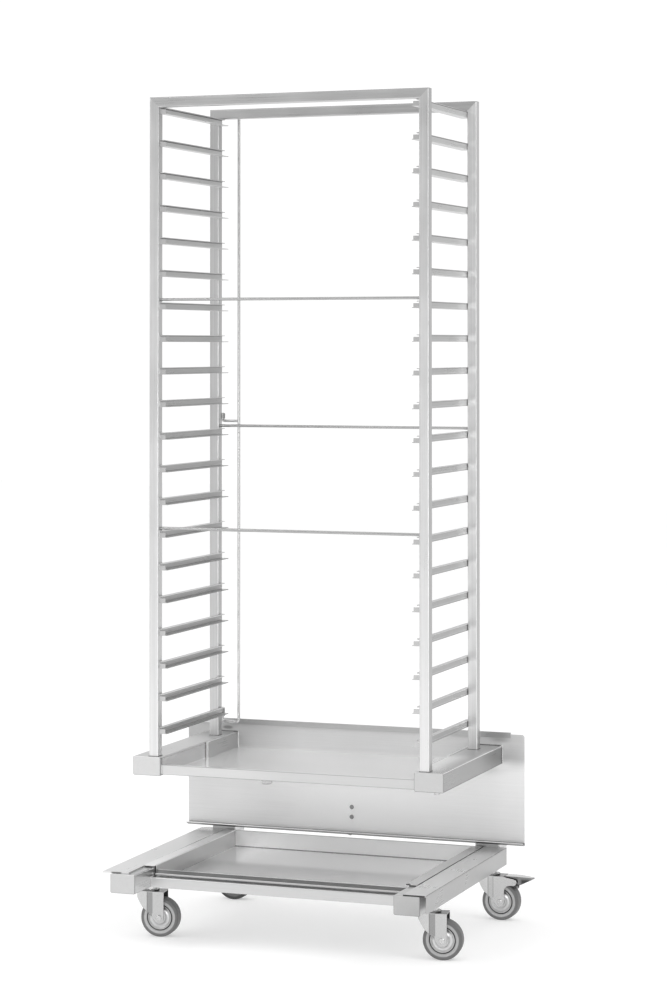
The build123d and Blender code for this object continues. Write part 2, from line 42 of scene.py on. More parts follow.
# ------------------------------------------------------------------ materials
class Tree:
    """Short names for building one material's nodes."""

    def __init__(self, name):
        self.mat = bpy.data.materials.new(name)
        self.mat.use_nodes = True
        self.t = self.mat.node_tree
        self.t.nodes.clear()
        self.out = self.t.nodes.new("ShaderNodeOutputMaterial")
        self.bsdf = self.t.nodes.new("ShaderNodeBsdfPrincipled")
        self.link(self.bsdf.outputs[0], self.out.inputs["Surface"])
        self.coord = self.t.nodes.new("ShaderNodeTexCoord")

    def link(self, a, b):
        self.t.links.new(a, b)

    def node(self, kind, **props):
        n = self.t.nodes.new(kind)
        for k, v in props.items():
            setattr(n, k, v)
        return n

    def stretched(self, scale, shift=(0, 0, 0)):
        m = self.node("ShaderNodeMapping")
        m.inputs["Scale"].default_value = scale
        m.inputs["Location"].default_value = shift
        self.link(self.coord.outputs["Object"], m.inputs["Vector"])
        return m.outputs["Vector"]

    def noise(self, vector, scale=1.0, detail=2.0, rough=0.5):
        n = self.node("ShaderNodeTexNoise")
        n.inputs["Scale"].default_value = scale
        n.inputs["Detail"].default_value = detail
        n.inputs["Roughness"].default_value = rough
        self.link(vector, n.inputs["Vector"])
        return n.outputs["Fac"]

    def remap(self, value, a, b, c, d):
        n = self.node("ShaderNodeMapRange")
        for i, v in ((1, a), (2, b), (3, c), (4, d)):
            n.inputs[i].default_value = v
        self.link(value, n.inputs[0])
        return n.outputs[0]

    def math(self, op, a, b=None):
        n = self.node("ShaderNodeMath", operation=op)
        for i, v in ((0, a), (1, b)):
            if v is None:
                continue
            if isinstance(v, (int, float)):
                n.inputs[i].default_value = v
            else:
                self.link(v, n.inputs[i])
        return n.outputs[0]

    def mm(self, at=(0, 0, 0), turned=0.0, size=(1, 1, 1)):
        # X, Y, Z of the point in millimetres from a rack point, on axes turned about Z
        m = self.node("ShaderNodeMapping", vector_type="TEXTURE")
        m.inputs["Location"].default_value = P(*at)
        m.inputs["Rotation"].default_value = (0, 0, turned)
        m.inputs["Scale"].default_value = tuple(v * 0.001 for v in size)
        self.link(self.coord.outputs["Object"], m.inputs["Vector"])
        return m.outputs["Vector"]

    def split(self, vector):
        n = self.node("ShaderNodeSeparateXYZ")
        self.link(vector, n.inputs[0])
        return [n.outputs[i] for i in range(3)]

    def inside(self, xyz, x=None, y=None, z=None, soft=0.3):
        # 1 between the limits given on each axis, 0 outside, soft edged
        m = None
        for v, lim in zip(xyz, (x, y, z)):
            for side, edge in enumerate(lim or (None, None)):
                if edge is None:
                    continue
                f = self.remap(v, edge - soft, edge + soft, *((1, 0) if side else (0, 1)))
                m = f if m is None else self.math("MULTIPLY", m, f)
        return m

    def toned(self, value, mask, gain):
        return self.math("MULTIPLY", value, self.remap(mask, 0, 1, 1, gain))

    def blend(self, a, b, mask):
        # a where the mask is 0, b where it is 1
        n = self.node("ShaderNodeMix", data_type="FLOAT")
        self.link(mask, n.inputs[0])
        for i, v in ((2, a), (3, b)):
            if isinstance(v, (int, float)):
                n.inputs[i].default_value = v
            else:
                self.link(v, n.inputs[i])
        return n.outputs[0]

    def spot(self, value, at, size, gain, hard=0.0):
        # value times gain at a rack point, fading to nothing over size (mm on X, Y, Z)
        n = self.node("ShaderNodeVectorMath", operation="LENGTH")
        self.link(self.mm(at, 0.0, size), n.inputs[0])
        r = self.node("ShaderNodeMapRange", interpolation_type="SMOOTHSTEP")
        for i, v in ((1, hard), (2, 1.0), (3, gain), (4, 1.0)):
            r.inputs[i].default_value = v
        self.link(n.outputs["Value"], r.inputs[0])
        return self.math("MULTIPLY", value, r.outputs[0])

    def facing(self):
        # X, Y, Z of the surface's direction
        g = self.node("ShaderNodeNewGeometry")
        return self.split(g.outputs["True Normal"])

    def grey(self, value):
        # a varying grey level, 0..1, as a colour
        n = self.node("ShaderNodeCombineColor")
        for i in range(3):
            self.link(value, n.inputs[i])
        return n.outputs[0]

    def bump(self, height, distance, strength=1.0, normal=None):
        n = self.node("ShaderNodeBump")
        n.inputs["Distance"].default_value = distance
        n.inputs["Strength"].default_value = strength
        self.link(height, n.inputs["Height"])
        if normal is not None:
            self.link(normal, n.inputs["Normal"])
        return n.outputs[0]


def steel(name, level, rough, along, grain=1.0, smudge=1.0, waves=0.0, dress=None, metal=1.0):
    """Stainless steel. along: scale of the grain on X, Y, Z in cycles per metre.
    dress(t, level, roughness) may change the two before they reach the surface, and may add a
    mask of where the sheet is dull."""
    t = Tree(name)
    fine = t.noise(t.stretched(along), 1.0, 3.0, 0.6)
    coarse = t.noise(t.stretched(tuple(v * 0.28 for v in along), (3, 7, 1)), 1.0, 2.0)
    cloud = t.noise(t.stretched((7, 7, 7), (1, 2, 5)), 1.0, 3.0, 0.55)
    streak = t.math("ADD", t.math("MULTIPLY", fine, 0.6), t.math("MULTIPLY", coarse, 0.4))
    lvl = t.math("ADD", t.remap(streak, 0.3, 0.7, level - 0.035 * grain, level + 0.035 * grain),
                 t.remap(cloud, 0.3, 0.7, -0.02 * smudge, 0.02 * smudge))
    g = min(grain, rough / 0.06)
    r = t.math("ADD", t.remap(streak, 0.3, 0.7, rough - 0.04 * g, rough + 0.05 * g),
               t.remap(cloud, 0.3, 0.7, -0.1 * rough * smudge, 0.12 * rough * smudge))
    dull = ()
    if dress:
        lvl, r, *dull = dress(t, lvl, r)
    t.link(t.grey(lvl), t.bsdf.inputs["Base Color"])
    t.link(r, t.bsdf.inputs["Roughness"])
    t.bsdf.inputs["Metallic"].default_value = metal
    if dull:
        t.link(t.remap(dull[0], 0, 1, metal, 0.15), t.bsdf.inputs["Metallic"])
    n = t.bump(streak, 0.00006 * grain, 0.55)
    if waves:
        big = t.noise(t.stretched((5.5, 6.5, 5.0), (2, 4, 1)), 1.0, 1.0)
        n = t.bump(big, 0.0012 * waves, 0.6, n)
    t.link(n, t.bsdf.inputs["Normal"])
    return t.mat


def radius_from_axis(t, centre, axis):
    # distance of a point of the object from a line, in metres
    sub = t.node("ShaderNodeVectorMath", operation="SUBTRACT")
    t.link(t.coord.outputs["Object"], sub.inputs[0])
    sub.inputs[1].default_value = centre
    cross = t.node("ShaderNodeVectorMath", operation="CROSS_PRODUCT")
    t.link(sub.outputs[0], cross.inputs[0])
    cross.inputs[1].default_value = axis
    length = t.node("ShaderNodeVectorMath", operation="LENGTH")
    t.link(cross.outputs[0], length.inputs[0])
    return length.outputs["Value"]


def ramp(t, value, stops):
    n = t.node("ShaderNodeValToRGB")
    cr = n.color_ramp
    while len(cr.elements) < len(stops):
        cr.elements.new(0.5)
    for e, (pos, g) in zip(cr.elements, stops):
        e.position = pos
        e.color = (g, g, g, 1)
    t.link(value, n.inputs[0])
    return n.outputs["Color"]


def times(t, colour, grey):
    n = t.node("ShaderNodeMix", data_type="RGBA", blend_type="MULTIPLY")
    n.inputs["Factor"].default_value = 1.0
    t.link(colour, n.inputs[6])
    t.link(t.grey(grey), n.inputs[7])
    return n.outputs[2]


def tyre_mat(name, centre, axis, shade=1.0):
    t = Tree(name)
    r = radius_from_axis(t, centre, axis)
    dust = t.noise(t.stretched((220, 220, 220)), 1.0, 4.0, 0.6)
    blot = t.noise(t.stretched((35, 35, 35), (4, 1, 2)), 1.0, 3.0)
    # radius 20 mm .. 40 mm along the ramp: black ring by the hub, pale side band, grey tread
    base = ramp(t, t.remap(r, 0.020, 0.040, 0.0, 1.0),
                [(0.0, 0.03), (0.27, 0.03), (0.30, 0.40), (0.40, 0.51), (0.56, 0.52), (0.60, 0.31), (0.64, 0.19),
                 (0.80, 0.16), (1.0, 0.15)])
    # the shade argument is painted shade over the whole tyre
    g = t.math("ADD", t.remap(dust, 0.3, 0.7, 0.92 * shade, 1.04 * shade), t.remap(blot, 0.3, 0.7, -0.05 * shade, 0.05 * shade))
    t.link(times(t, base, g), t.bsdf.inputs["Base Color"])
    t.link(t.remap(dust, 0.3, 0.7, 0.45, 0.6), t.bsdf.inputs["Roughness"])
    t.link(t.bump(dust, 0.00012, 0.5), t.bsdf.inputs["Normal"])
    return t.mat


def hub_mat(name, centre, axis):
    t = Tree(name)
    r = radius_from_axis(t, centre, axis)
    speck = t.noise(t.stretched((160, 160, 160)), 1.0, 3.0, 0.6)
    base = ramp(t, t.remap(r, 0.0, 0.030, 0.0, 1.0),
                [(0.0, 0.50), (0.34, 0.55), (0.40, 0.62), (0.74, 0.67), (0.775, 0.60), (0.80, 0.05), (1.0, 0.03)])
    t.link(times(t, base, t.remap(speck, 0.3, 0.7, 0.95, 1.03)), t.bsdf.inputs["Base Color"])
    rim = t.remap(r, 0.0232, 0.0240, 0.0, 1.0)
    t.link(t.blend(t.remap(speck, 0.3, 0.7, 0.28, 0.36), 0.6, rim), t.bsdf.inputs["Roughness"])
    t.link(t.remap(rim, 0, 1, 0.9, 0.0), t.bsdf.inputs["Metallic"])
    t.link(t.bump(speck, 0.00005, 0.4), t.bsdf.inputs["Normal"])
    return t.mat


def fork_mat(name, kx, ky, turned, strip):
    """Pressed fork. Millimetres from the kingpin, on the fork's own axes."""
    def dress(t, lvl, r):
        xyz = t.split(t.mm((kx, ky, 0), turned))
        x, y, z = xyz
        reach = t.math("ADD", t.math("ADD", t.remap(x, -8, -2, 14.1, 15.0), t.remap(x, 5, 9, 0.0, 1.4)), 0.0)
        across = t.math("DIVIDE", t.math("ABSOLUTE", y), reach)
        nose = t.math("DIVIDE", t.math("MINIMUM", t.math("ADD", x, 8.0), 0.0), 18.0)
        d = t.math("ADD", t.math("MULTIPLY", across, across), t.math("MULTIPLY", nose, nose))
        # painted shade: the inside of the fork near black
        under = t.remap(z, 88.3, 88.8, 1.0, 0.0)
        hollow_shade = t.math("MULTIPLY", t.remap(d, 0.97, 1.03, 1.0, 0.0), under)
        # painted light and shade outside: pale nose (painted highlight), darker pressed strip with dark lines at its
        # edges (painted shade), plain leg
        lvl = t.toned(lvl, t.remap(x, -4.4, -3.2, 1.0, 0.0), 1.08)
        lvl = t.toned(lvl, t.inside(xyz, x=(-3.0, 7.6), z=(None, 88.6), soft=0.7), strip)
        lvl = t.toned(lvl, t.inside(xyz, x=(-3.6, -2.0), z=(None, 88.6), soft=0.5), 0.62)
        lvl = t.toned(lvl, t.inside(xyz, x=(7.6, 9.0), z=(47.0, 88.6), soft=0.5), 0.55)
        # painted shade: the top plate darker, blotched darker still
        top = t.remap(z, 89.2, 89.8, 0.0, 1.0)
        lvl = t.toned(lvl, top, 0.62)
        blot = t.remap(t.noise(t.stretched((120, 120, 120), (1, 5, 2)), 1.0, 2.0), 0.35, 0.65, 0.0, 1.0)
        lvl = t.toned(lvl, t.math("MULTIPLY", top, blot), 0.55)
        return t.blend(lvl, 0.10, hollow_shade), t.blend(r, 0.5, hollow_shade)

    # painted shade: the front forks' steel darker than the rear forks'
    return steel(name, 0.52 if turned else 0.62, 0.24, (600, 600, 600), 0.5, dress=dress)


def pedal_mat(name, kx, ky):
    def dress(t, lvl, r):
        xyz = t.split(t.mm((kx, ky, 0)))
        nx, ny, nz = t.facing()
        # painted shade: faces not facing up, the cheek's front and the lowest part darker
        lvl = t.toned(lvl, t.remap(nz, 0.8, 0.95, 1.0, 0.0), 0.30)
        lvl = t.toned(lvl, t.inside(xyz, x=(66, 82), z=(None, 85.0), soft=2.0), 0.30)
        return t.toned(lvl, t.remap(xyz[2], 72.0, 76.0, 1.0, 0.0), 0.35), r

    return steel(name, 0.74, 0.24, (700, 700, 700), 0.5, dress=dress)


# ---- painted light and shade, with some roughness changes, along a piece
def rail_dress(t, lvl, r):
    xyz = t.split(t.mm())
    below = t.math("FRACT", t.math("DIVIDE", t.math("SUBTRACT", 1646.5, xyz[2]), 64.8))
    u = t.math("MULTIPLY", below, 64.8)          # 0.5 at a rail's top, 14.5 at its bottom
    low = t.remap(xyz[2], 1450, 700, 0.0, 1.0)
    nx, ny, nz = t.facing()
    side = t.remap(t.math("ABSOLUTE", nx), 0.5, 0.7, 0.0, 1.0)

    # painted light and shade in bands across each rail's height: dark flange undersides and a light flange edge, with
    # other gains on the lower rails
    def line(lvl, a, b, high_gain, low_gain, soft=0.25):
        m = t.math("MULTIPLY", side, t.math("MULTIPLY", t.remap(u, a - soft, a + soft, 0.0, 1.0), t.remap(u, b - soft, b + soft, 1.0, 0.0)))
        lvl = t.toned(lvl, t.math("MULTIPLY", m, t.math("SUBTRACT", 1.0, low)), high_gain)
        return t.toned(lvl, t.math("MULTIPLY", m, low), low_gain)

    lvl = line(lvl, 0.0, 2.0, 0.95, 1.15)
    lvl = line(lvl, 2.0, 3.1, 0.16, 0.50)
    lvl = line(lvl, 3.3, 12.9, 1.0, 0.64)
    lvl = line(lvl, 10.2, 11.2, 1.06, 1.35)
    lvl = line(lvl, 12.9, 15.5, 1.12, 0.45)
    stop = t.math("MULTIPLY", t.remap(xyz[1], 5.4, 6.2, 1.0, 0.0), t.remap(t.math("ABSOLUTE", ny), 0.5, 0.7, 0.0, 1.0))
    lit = t.remap(xyz[0], -100, 100, 1.0, 0.45)
    return t.toned(lvl, t.math("MULTIPLY", stop, t.math("MULTIPLY", low, lit)), 1.0), r


def post_dress(front, side, x_side, low_side=1.0, high=1.0, corner=1.0):
    """front, side: gain of the faces towards the front and towards the middle, low_side: the latter's at the foot,
    high: gain of the top end, corner: gain of the rounded edge between the two faces."""
    def dress(t, lvl, r):
        xyz = t.split(t.mm())
        nx, ny, nz = t.facing()
        # painted light and shade: gains per face, at the top end and on the rounded edge; the noise bands are grain
        lvl = t.toned(lvl, t.remap(ny, -0.7, -0.9, 0.0, 1.0), front)
        lvl = t.toned(lvl, t.remap(xyz[2], 1250, 1640, 0.0, 1.0), high)
        lvl = t.toned(lvl, t.math("MULTIPLY", t.remap(nx, 0.2, 0.35, 0.0, 1.0), t.remap(nx, 0.85, 0.95, 1.0, 0.0)), corner)
        inner = t.remap(nx, 0.7, 0.9, 0.0, 1.0)
        lvl = t.toned(lvl, inner, side)
        lvl = t.toned(lvl, t.math("MULTIPLY", inner, t.remap(xyz[2], 1300, 700, 0.0, 1.0)), low_side)
        band = t.noise(t.stretched((260, 260, 1.2), (x_side, 2, 0)), 1.0, 1.0)
        return t.math("MULTIPLY", lvl, t.remap(band, 0.35, 0.65, 0.965, 1.035)), r
    return dress


def tube_dress(right):
    def dress(t, lvl, r):
        xyz = t.split(t.mm())
        nx, ny, nz = t.facing()
        side = t.remap(t.math("ABSOLUTE", nx), 0.8, 0.95, 0.0, 1.0)
        top = t.remap(nz, 0.8, 0.95, 0.0, 1.0)
        # painted shade and highlights: a dark line along the bottom edge, shaded sides, and on the right tube a light
        # top edge line, a pool of light on its top and shade at its rear end
        lvl = t.toned(lvl, t.remap(xyz[2], 322.3, 321.5, 0.0, 1.0), 0.42)
        if right:
            lvl = t.toned(lvl, t.math("MULTIPLY", side, t.remap(xyz[1], 230, 372, 0.0, 1.0)), 0.88)
            lvl = t.toned(lvl, t.math("MULTIPLY", side, t.remap(xyz[1], 355, 374, 0.0, 1.0)), 0.84)
            lvl = t.toned(lvl, side, 0.53)
            edge = t.inside(xyz, x=(321.9, 323.7), z=(354.6, 356.4), soft=0.35)
            lvl = t.toned(lvl, edge, 1.5)
            top_highlight = t.math("MULTIPLY", t.inside(xyz, x=(None, 303), soft=14), t.inside(xyz, y=(20, 215), soft=22))
            lvl = t.toned(lvl, t.math("MULTIPLY", top_highlight, top), 1.42)
            lvl = t.toned(lvl, t.math("MULTIPLY", t.remap(xyz[1], 350, 376, 0.0, 1.0), top), 0.80)
        else:
            lvl = t.toned(lvl, side, 0.86)
            lvl = t.toned(lvl, top, 1.08)
        return lvl, r
    return dress


def side_plate_dress(t, lvl, r):
    nx, ny, nz = t.facing()
    # painted light and shade: front faces lighter, side faces darker
    lvl = t.toned(lvl, t.remap(ny, -0.8, -0.95, 0.0, 1.0), 1.3)
    return t.toned(lvl, t.remap(t.math("ABSOLUTE", nx), 0.8, 0.95, 0.0, 1.0), 0.56), r


def cap_dress(t, lvl, r):
    # right base cap stands in the shade of the guide
    xyz = t.split(t.mm())
    right = t.remap(xyz[0], -100, 100, 0.0, 1.0)
    base = t.remap(xyz[2], 220, 240, 1.0, 0.0)
    lvl = t.toned(lvl, right, 0.87)
    lvl = t.toned(lvl, base, 0.88)
    both = t.math("MULTIPLY", right, base)
    lvl = t.toned(lvl, both, 0.92)
    # painted shade: a dark line round the cap's front edges
    away = t.math("ABSOLUTE", xyz[0])
    outer = t.blend(324.0, 317.0, base)
    foot = t.blend(319.5, 109.0, base)
    d = t.math("MINIMUM", t.math("MINIMUM", t.math("SUBTRACT", away, 265.0), t.math("SUBTRACT", outer, away)), t.math("SUBTRACT", xyz[2], foot))
    lvl = t.toned(lvl, t.remap(d, 0.6, 1.3, 1.0, 0.0), 0.55)
    low = t.math("MULTIPLY", t.remap(xyz[2], 148, 106, 0.0, 1.0), t.remap(xyz[0], 262, 320, 0.2, 1.0))
    return t.toned(lvl, t.math("MULTIPLY", both, low), 0.82), r


def panel_dress(t, lvl, r):
    xyz = t.split(t.mm())
    nx, ny, nz = t.facing()
    # painted light and shade: gradients across the panel, darker above the tray's floor, near black along the bottom
    # fold, a light spot at the centre
    lvl = t.math("MULTIPLY", lvl, t.remap(xyz[0], -330, -110, 0.84, 1.20))
    lvl = t.math("MULTIPLY", lvl, t.remap(xyz[0], 150, 300, 1.0, 0.90))
    lvl = t.math("MULTIPLY", lvl, t.remap(xyz[2], 316, 330, 1.0, 0.79))
    lvl = t.toned(lvl, t.remap(xyz[2], 162.0, 160.6, 0.0, 1.0), 0.22)
    lvl = t.spot(lvl, (0, 377, 235), (210, 90, 120), 1.08)
    # soft reflections of the floor tubes' ends
    lvl = t.spot(lvl, (352, 377, 330), (46, 60, 34), 0.76)
    lvl = t.spot(lvl, (298, 377, 306), (60, 60, 14), 0.86)
    # painted shade: the upper left corner, the back faces and dark spots where the hinge sleeve and the right tube's
    # end shade the panel
    lvl = t.toned(lvl, t.inside(xyz, x=(None, -262), z=(300, None), soft=9), 0.86)
    lvl = t.toned(lvl, t.remap(ny, 0.5, 0.8, 0.0, 1.0), 0.62)
    lvl = t.spot(lvl, (-281, 377, 364.5), (15, 60, 5), 0.50, 0.4)
    return t.spot(lvl, (318, 377, 368), (30, 60, 9), 0.66), r


def tray_dress(t, lvl, r):
    xyz = t.split(t.mm())
    # painted light and shade: dark left wall, darker lip with dark lines along its top and bottom edges, lighter floor
    # at the left
    wall = t.inside(xyz, z=(324.0, None), x=(-270, -262.9), soft=0.2)
    lvl = t.toned(lvl, wall, 0.50)
    lip = t.remap(xyz[1], -1.2, -1.8, 0.0, 1.0)
    lvl = t.toned(lvl, lip, 0.73)
    lvl = t.toned(lvl, t.math("MULTIPLY", lip, t.remap(xyz[0], -110, 10, 0.0, 1.0)), 0.91)
    lvl = t.toned(lvl, t.math("MULTIPLY", lip, t.remap(xyz[2], 340.0, 340.7, 0.0, 1.0)), 0.6)
    lvl = t.toned(lvl, t.math("MULTIPLY", lip, t.remap(xyz[2], 323.6, 322.9, 0.0, 1.0)), 0.5)
    floor_left = t.math("MULTIPLY", t.remap(xyz[0], -180, -255, 0.0, 1.0), t.remap(xyz[2], 324.6, 324.2, 0.0, 1.0))
    lvl = t.toned(lvl, floor_left, 1.08)
    return lvl, t.blend(r, 0.30, lip)


def pan_dress(t, lvl, r):
    xyz = t.split(t.mm())
    nx, ny, nz = t.facing()
    # painted light and shade: dark left wall and right rim top, a dark line at the back wall's foot, a dark front left
    # corner, a lighter back wall, a darker rim with a lit patch, a darker floor near the back
    left = t.inside(xyz, x=(-262.0, -261.0), z=(116.2, 148.0), soft=0.2)
    lvl = t.toned(lvl, left, 0.50)
    lvl = t.toned(lvl, t.inside(xyz, x=(260, None), z=(148.2, None), soft=0.2), 0.80)
    lvl = t.toned(lvl, t.inside(xyz, y=(370.2, None), z=(115.9, 117.6), soft=0.3), 0.45)
    lvl = t.toned(lvl, t.inside(xyz, x=(-283.0, -262.5), y=(None, -31.0), z=(None, 148.0), soft=0.2), 0.5)
    lvl = t.toned(lvl, t.inside(xyz, y=(371.3, None), z=(117.6, 148.0), soft=0.2), 1.21)
    rim = t.inside(xyz, z=(148.2, None), soft=0.2)
    lit = t.math("MULTIPLY", rim, t.math("MULTIPLY", t.remap(xyz[0], -100, -200, 0.0, 1.0), t.inside(xyz, y=(None, 176), soft=2)))
    lvl = t.toned(lvl, rim, 0.84)
    lvl = t.toned(lvl, lit, 1.1)
    walls = t.remap(xyz[2], 116.3, 117.0, 0.0, 1.0)
    near = t.remap(xyz[1], 185, 222, 1.0, 0.0)
    r = t.blend(t.blend(r, 0.22, near), 0.30, walls)
    lvl = t.toned(lvl, t.math("MULTIPLY", near, t.math("SUBTRACT", 1.0, walls)), 0.84)
    # the fold's sloped front is in shade, its top edge and the hem are light
    slope = t.inside(xyz, y=(-42.2, -31.5), z=(134.8, 140.5), soft=0.2)
    lvl = t.toned(lvl, t.math("MULTIPLY", slope, t.remap(ny, -0.2, -0.3, 0.0, 1.0)), 0.22)
    hem = t.math("MULTIPLY", t.inside(xyz, y=(None, -42.2), z=(None, 135.0), soft=0.2), t.remap(ny, -0.8, -0.95, 0.0, 1.0))
    lvl = t.toned(lvl, hem, 0.52)
    # painted shade: near black on the sideways faces at the right end
    lvl = t.toned(lvl, t.math("MULTIPLY", t.remap(t.math("ABSOLUTE", nx), 0.8, 0.95, 0.0, 1.0), t.inside(xyz, x=(280, None), soft=1)), 0.06)
    # painted shade: near black at the open corner by the folded front's right end
    lvl = t.spot(lvl, (264.5, -46, 149), (7.5, 12.0, 5.0), 0.02, 0.5)
    return lvl, r, lit


def guide_left_dress(t, lvl, r):
    xyz = t.split(t.mm())
    nx, ny, nz = t.facing()
    # painted shade: the plate's inner edge face dark between the stitch welds, its front end and front face dark too
    edge = t.remap(nx, 0.6, 0.8, 0.0, 1.0)
    dark = t.math("ADD", t.inside(xyz, y=(12, 113), soft=2), t.inside(xyz, y=(146, 279), soft=2))
    lvl = t.toned(lvl, t.math("MULTIPLY", edge, dark), 0.3)
    lvl = t.toned(lvl, t.math("MULTIPLY", edge, t.inside(xyz, y=(None, -49), soft=2)), 0.6)
    front = t.math("MULTIPLY", t.remap(ny, -0.6, -0.8, 0.0, 1.0), t.inside(xyz, x=(-317, -297), soft=2))
    return t.toned(lvl, front, 0.3), r


def guide_right_dress(t, lvl, r):
    xyz = t.split(t.mm())
    nx, ny, nz = t.facing()
    # painted shade: dark side faces, near black inner side, darker rounded bend and front faces
    lvl = t.toned(lvl, t.remap(nx, 0.8, 0.95, 0.0, 1.0), 0.53)
    lvl = t.toned(lvl, t.math("MULTIPLY", t.remap(nx, -0.8, -0.95, 0.0, 1.0), t.remap(xyz[0], 300, 290, 0.0, 1.0)), 0.06)
    crease = t.math("MULTIPLY", t.remap(nx, 0.25, 0.4, 0.0, 1.0), t.remap(nx, 0.8, 0.95, 1.0, 0.0))
    lvl = t.toned(lvl, crease, 0.42)
    front = t.remap(ny, -0.8, -0.95, 0.0, 1.0)
    lvl = t.toned(lvl, t.math("MULTIPLY", front, t.remap(xyz[0], 327, 329, 1.0, 0.0)), 0.12)
    return t.toned(lvl, front, 0.62), r


def base_right_dress(t, lvl, r):
    xyz = t.split(t.mm())
    nx, ny, nz = t.facing()
    # painted shade on the right side face towards the front
    return t.toned(lvl, t.math("MULTIPLY", t.remap(nx, 0.8, 0.95, 0.0, 1.0), t.remap(xyz[1], 75, 60, 0.0, 1.0)), 0.85), r


def boss_dress(t, lvl, r):
    xyz = t.split(t.mm())
    # painted shade: the boss's lower flange near black
    return t.toned(lvl, t.remap(xyz[2], 93.3, 92.9, 0.0, 1.0), 0.2), r


def bar_dress(gain):
    def dress(t, lvl, r):
        xyz = t.split(t.mm())
        # painted shade: a darker top face; the gain darkens a whole bar, the rear one
        lvl = t.toned(lvl, t.remap(xyz[2], 1664.4, 1665.2, 0.0, 1.0), 0.42)
        return t.math("MULTIPLY", lvl, gain), r
    return dress


FINE, LONG = 1400.0, 14.0
GRAIN_X = (LONG, FINE, FINE)
GRAIN_Y = (FINE, LONG, FINE)
GRAIN_Z = (FINE, FINE, LONG)

look = {
    # painted light and shade: lit and shaded copies of one steel for each post, top bar and floor tube
    "front_left_post": steel("steel_post_fl", 0.75, 0.31, GRAIN_Z, dress=post_dress(1.07, 0.83, 1, 0.90, 0.84)),
    "front_right_post": steel("steel_post_fr", 0.75, 0.31, GRAIN_Z, dress=post_dress(1.06, 0.84, 2, 0.72, 0.88)),
    "rear_left_post": steel("steel_post_rl", 0.72, 0.33, GRAIN_Z, dress=post_dress(0.85, 0.84, 3, 0.78, 0.82, 1.4)),
    "rear_right_post": steel("steel_post_rr", 0.76, 0.33, GRAIN_Z, dress=post_dress(0.99, 0.87, 4, 0.74)),
    "front_top_bar": steel("steel_top_bar_front", 0.60, 0.30, GRAIN_X, dress=bar_dress(1.0)),
    "rear_top_bar": steel("steel_top_bar_rear", 0.57, 0.30, GRAIN_X, dress=bar_dress(0.92)),
    "left_floor_tube": steel("steel_floor_tube_left", 0.64, 0.33, GRAIN_Y, dress=tube_dress(False)),
    "right_floor_tube": steel("steel_floor_tube_right", 0.62, 0.30, GRAIN_Y, dress=tube_dress(True)),
    "tray_side_plates": steel("steel_side_plates", 0.72, 0.30, GRAIN_Y, 0.7, dress=side_plate_dress, metal=0.6),
    "left_base_tube": steel("steel_base_left", 0.64, 0.30, GRAIN_Y),
    "right_base_tube": steel("steel_base_right", 0.66, 0.33, GRAIN_Y, 0.4, dress=base_right_dress, metal=0.6),
    "apron_panel": steel("steel_panel", 0.83, 0.33, GRAIN_X, 0.9, 0.7, dress=panel_dress, metal=0.42),
    "upper_drip_tray": steel("steel_tray", 0.93, 0.19, (240, 900, 240), 0.12, 0.6, 0.35, dress=tray_dress, metal=0.62),
    "drip_pan": steel("steel_pan", 0.90, 0.05, (240, 900, 240), 0.25, 0.4, 0.12, dress=pan_dress, metal=0.56),
    "left_guide_plate": steel("steel_guide_left", 0.78, 0.29, GRAIN_Y, 0.4, dress=guide_left_dress, metal=0.62),
    "right_guide_angle": steel("steel_guide_right", 0.72, 0.29, GRAIN_Y, 0.2, dress=guide_right_dress, metal=0.60),
    "caster_bosses": steel("steel_bosses", 0.66, 0.22, (600, 600, 600), 0.5, dress=boss_dress),
    "tray_drain_spout": steel("steel_spout", 0.50, 0.24, (600, 600, 600), 0.5),
    "locating_stud": steel("steel_stud", 0.60, 0.28, (600, 600, 600), 0.5),
    "apron_lip_bolt": steel("steel_lip_bolt", 0.42, 0.30, (900, 900, 900), 0.5),
    "panel_screws": steel("steel_screws", 0.34, 0.30, (900, 900, 900), 0.5),
    "hinge_sleeves": steel("steel_sleeves", 0.36, 0.30, (500, 500, 500), 0.4),
}
rail = steel("steel_rail", 0.58, 0.30, GRAIN_Y, 0.8, dress=rail_dress, metal=0.75)
look["left_rails"] = look["right_rails"] = rail
wire = steel("steel_wire", 0.47, 0.26, (60, 60, 60), 0.35, 0.5)
look["front_brace_rods"] = look["rear_brace_rod"] = wire
look["locking_bar"] = steel("steel_locking_wire", 0.68, 0.24, (60, 60, 60), 0.35, 0.5)
bar = steel("steel_crossbar", 0.62, 0.33, GRAIN_X)
look["front_crossbar"] = look["rear_crossbar"] = bar
look["panel_top_bar"] = steel("steel_panel_bar", 0.58, 0.33, GRAIN_X)
look["left_upright"] = look["right_upright"] = steel("steel_upright", 0.60, 0.33, GRAIN_Z)
cap = steel("steel_cap", 0.71, 0.38, (420, 420, 420), 0.6, dress=cap_dress)
look["floor_tube_caps"] = look["base_tube_caps"] = look["upright_caps"] = cap
fastener = steel("steel_fastener", 0.60, 0.25, (900, 900, 900), 0.5)

